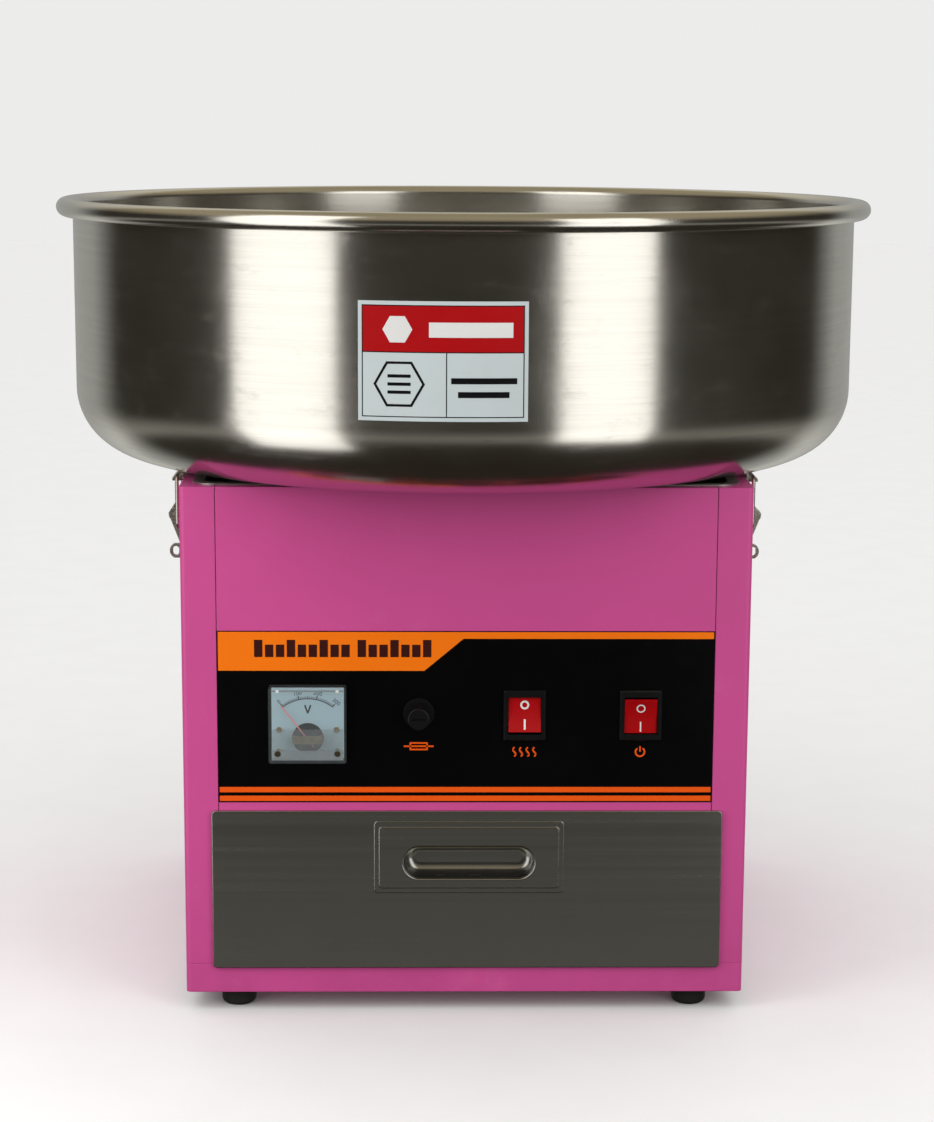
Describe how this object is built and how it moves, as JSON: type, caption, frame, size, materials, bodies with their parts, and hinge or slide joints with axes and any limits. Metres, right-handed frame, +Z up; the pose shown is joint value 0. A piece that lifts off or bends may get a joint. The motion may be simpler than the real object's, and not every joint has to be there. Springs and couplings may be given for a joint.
{
  "type": "cotton candy machine",
  "caption": "Table-top cotton candy machine: square painted cabinet with a drawer, latched round steel bowl, spinning heated head, rocker switches, meter and fuse.",
  "frame": {"origin": "on the surface that the feet stand on, under the axis of the bowl and the spinner", "axes": "+Z up along the spinner axis, front of the machine at -Y, +X to the right seen from the front"},
  "size_m": [0.52, 0.52, 0.488],
  "materials": {
    "pink_paint": "satin pink powder coat",
    "bowl_steel": "spun and brushed stainless steel, horizontal grain",
    "deck_steel": "stainless steel, light brushing",
    "drawer_steel": "stainless steel, fine horizontal brushing",
    "zinc_steel": "zinc-plated steel",
    "latch_steel": "nickel-plated steel",
    "label_print": "printed white vinyl with a red header",
    "decal_print": "printed black polycarbonate with orange bands",
    "black_plastic": "black moulded phenolic",
    "dial_face": "printed pale blue dial",
    "clear_cover": "clear moulded polystyrene",
    "needle_red": "red lacquer",
    "brass": "plain brass",
    "rocker_red": "translucent red",
    "fuse_glass": "clear glass with plated ends",
    "rubber": "matte black rubber",
    "aluminium": "turned aluminium",
    "motor_iron": "grey painted iron",
    "laminations": "steel laminations with copper windings",
    "shaft_steel": "ground steel",
    "heater_metal": "heat-tinted sheathed element",
    "screw_steel": "stainless steel",
    "white_nylon": "natural nylon"
  },
  "bodies": {
    "root": {"base_pan": "pink_paint", "bowl": "bowl_steel", "bowl_catches": "latch_steel", "bowl_gasket": "rubber", "bowl_label": "label_print", "brush_holder": "black_plastic", "cabinet_fasteners": "screw_steel", "cable_gland": "black_plastic", "control_decal": "decal_print", "divider_shelf": "zinc_steel", "drawer_runners": "zinc_steel", "electrical_terminals": "brass", "front_panel": "pink_paint", "fuse_holder": "black_plastic", "gland_seal": "rubber", "latch_bases": "latch_steel", "latch_fasteners": "latch_steel", "left_side_panel": "pink_paint", "meter_case": "black_plastic", "meter_cover": "clear_cover", "meter_dial": "dial_face", "meter_movement": "brass", "motor_bearings": "shaft_steel", "motor_bracket": "zinc_steel", "motor_fasteners": "screw_steel", "motor_housing": "motor_iron", "motor_stator": "laminations", "rear_panel": "pink_paint", "right_side_panel": "pink_paint", "rubber_feet": "rubber", "rubber_mounts": "rubber", "shaft_shroud": "bowl_steel", "switch_housings": "black_plastic", "terminal_block": "white_nylon", "top_plate": "deck_steel"},
    "drawer": {"drawer_front": "drawer_steel", "drawer_box": "drawer_steel", "drawer_pull": "drawer_steel"},
    "spinner": {"motor_shaft": "shaft_steel", "motor_rotor": "laminations", "slip_rings": "brass", "spinner_base": "aluminium", "spinner_lid": "aluminium", "spinner_band": "aluminium", "sugar_well": "aluminium", "heater_element": "heater_metal", "spinner_fasteners": "screw_steel"},
    "heat_rocker": {"heat_rocker": "rocker_red"},
    "power_rocker": {"power_rocker": "rocker_red"},
    "needle": {"meter_needle": "needle_red"},
    "fuse_carrier": {"glass_fuse": "fuse_glass"},
    "fuse_cap": {"fuse_cap": "black_plastic"},
    "lever_front_left": {"latch_lever_front_left": "latch_steel"},
    "bail_front_left": {"latch_bail_front_left": "latch_steel"},
    "lever_front_right": {"latch_lever_front_right": "latch_steel"},
    "bail_front_right": {"latch_bail_front_right": "latch_steel"},
    "lever_rear_left": {"latch_lever_rear_left": "latch_steel"},
    "bail_rear_left": {"latch_bail_rear_left": "latch_steel"},
    "lever_rear_right": {"latch_lever_rear_right": "latch_steel"},
    "bail_rear_right": {"latch_bail_rear_right": "latch_steel"}
  },
  "joints": [
    {"name": "drawer_slide", "type": "slide", "parent": "root", "child": "drawer", "axis": [0, -1, 0], "range_m": [0, 0.24]},
    {"name": "spinner_turn", "type": "hinge", "parent": "root", "child": "spinner", "pos_m": [0, 0, 0.388], "axis": [0, 0, 1], "continuous": true},
    {"name": "heat_switch", "type": "hinge", "parent": "root", "child": "heat_rocker", "pos_m": [0.0352, -0.1685, 0.186], "axis": [1, 0, 0], "range_deg": [0, 18]},
    {"name": "power_switch", "type": "hinge", "parent": "root", "child": "power_rocker", "pos_m": [0.1049, -0.1685, 0.186], "axis": [1, 0, 0], "range_deg": [-18, 0]},
    {"name": "meter_needle", "type": "hinge", "parent": "root", "child": "needle", "pos_m": [-0.0946, -0.1765, 0.1726], "axis": [0, 1, 0], "range_deg": [0, 75], "stiffness_Nm_per_rad": 0.0003},
    {"name": "fuse_pull", "type": "slide", "parent": "root", "child": "fuse_carrier", "axis": [0, -1, 0], "range_m": [0, 0.045]},
    {"name": "fuse_cap_turn", "type": "hinge", "parent": "fuse_carrier", "child": "fuse_cap", "pos_m": [-0.0283, -0.18, 0.1875], "axis": [0, 1, 0], "range_deg": [-60, 0]},
    {"name": "latch_front_left", "type": "hinge", "parent": "root", "child": "lever_front_left", "pos_m": [-0.1765, -0.11, 0.3], "axis": [0, 1, 0], "range_deg": [0, 120]},
    {"name": "bail_front_left", "type": "hinge", "parent": "lever_front_left", "child": "bail_front_left", "pos_m": [-0.175, -0.11, 0.2925], "axis": [0, 1, 0], "range_deg": [-162, 0]},
    {"name": "latch_front_right", "type": "hinge", "parent": "root", "child": "lever_front_right", "pos_m": [0.1765, -0.11, 0.3], "axis": [0, -1, 0], "range_deg": [0, 120]},
    {"name": "bail_front_right", "type": "hinge", "parent": "lever_front_right", "child": "bail_front_right", "pos_m": [0.175, -0.11, 0.2925], "axis": [0, -1, 0], "range_deg": [-162, 0]},
    {"name": "latch_rear_left", "type": "hinge", "parent": "root", "child": "lever_rear_left", "pos_m": [-0.1765, 0.11, 0.3], "axis": [0, 1, 0], "range_deg": [0, 120]},
    {"name": "bail_rear_left", "type": "hinge", "parent": "lever_rear_left", "child": "bail_rear_left", "pos_m": [-0.175, 0.11, 0.2925], "axis": [0, 1, 0], "range_deg": [-162, 0]},
    {"name": "latch_rear_right", "type": "hinge", "parent": "root", "child": "lever_rear_right", "pos_m": [0.1765, 0.11, 0.3], "axis": [0, -1, 0], "range_deg": [0, 120]},
    {"name": "bail_rear_right", "type": "hinge", "parent": "lever_rear_right", "child": "bail_rear_right", "pos_m": [0.175, 0.11, 0.2925], "axis": [0, -1, 0], "range_deg": [-162, 0]}
  ],
  "couplings": [
    {"joint": "bail_front_left", "follows": "latch_front_left", "ratio": -1.35},
    {"joint": "bail_front_right", "follows": "latch_front_right", "ratio": -1.35},
    {"joint": "bail_rear_left", "follows": "latch_rear_left", "ratio": -1.35},
    {"joint": "bail_rear_right", "follows": "latch_rear_right", "ratio": -1.35}
  ]
}
